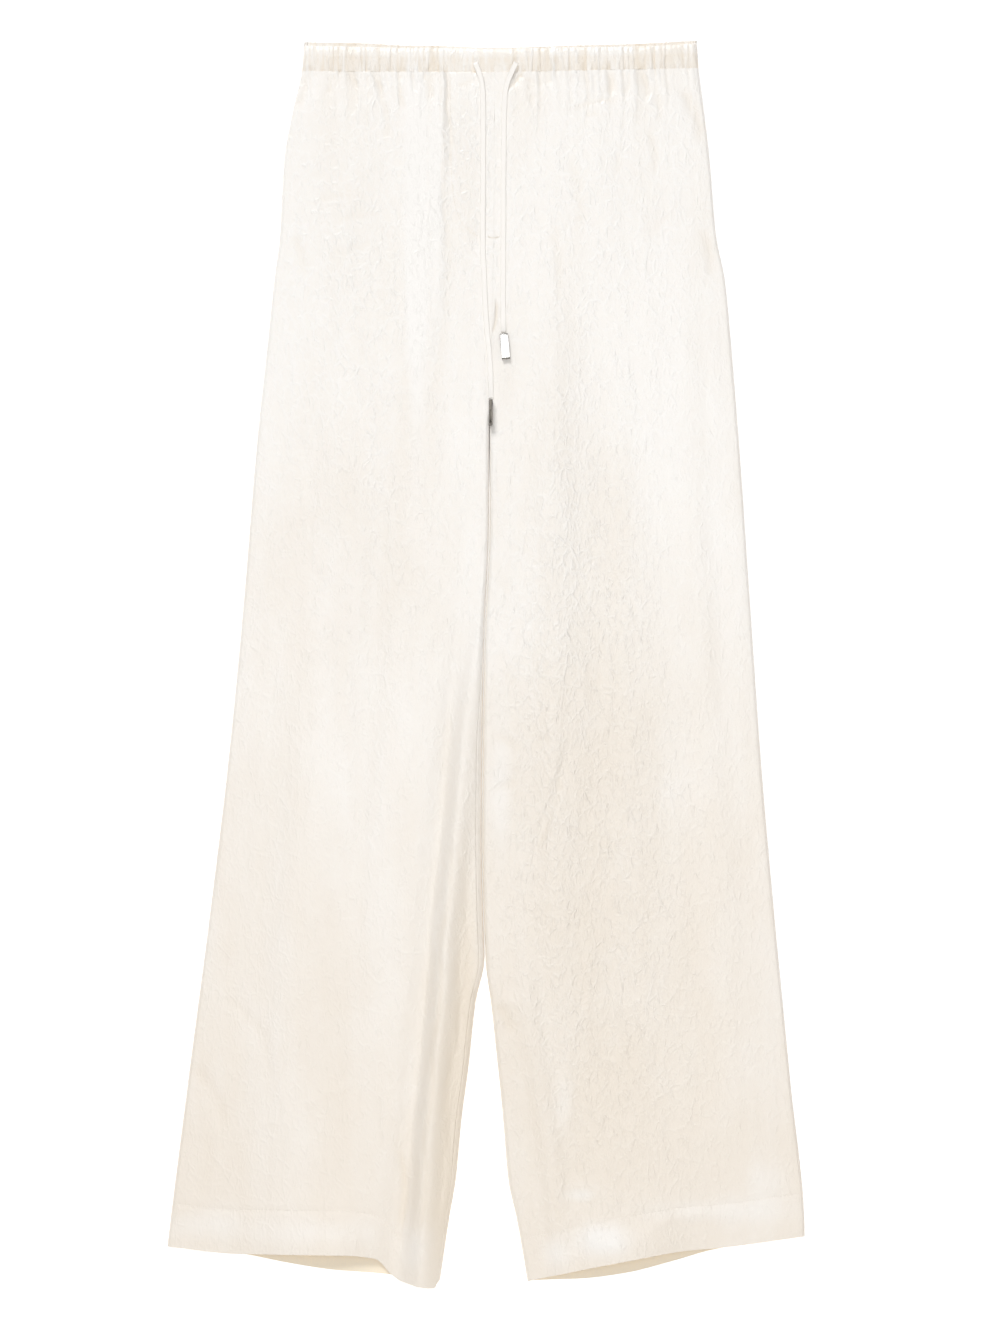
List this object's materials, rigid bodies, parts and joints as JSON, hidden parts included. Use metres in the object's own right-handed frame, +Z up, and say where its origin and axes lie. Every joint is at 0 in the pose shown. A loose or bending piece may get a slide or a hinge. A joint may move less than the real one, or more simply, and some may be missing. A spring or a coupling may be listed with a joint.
{
  "type": "wide-leg drawstring trousers",
  "caption": "Long wide-leg pull-on trousers in ivory crinkled satin, laid flat, with a gathered waistband, mock fly and metal-tipped drawstring.",
  "frame": {"origin": "on the surface that the garment lies on, under the middle of its bounding box", "axes": "+Y up the garment to the waistband, +X towards the wearer's left leg, +Z up from the surface, out of the front"},
  "size_m": [0.587, 1.1479, 0.0141],
  "materials": {
    "satin": "crinkled ivory satin",
    "drawstring": "flat satin tape",
    "tip_metal": "polished"
  },
  "bodies": {
    "root": {"front_right": "satin", "front_left": "satin", "back_right": "satin", "back_left": "satin", "waistband_front": "satin", "waistband_back": "satin", "fly": "satin", "drawstring_right": "drawstring", "drawstring_left": "drawstring", "tip_right": "tip_metal", "tip_left": "tip_metal"}
  },
  "joints": []
}
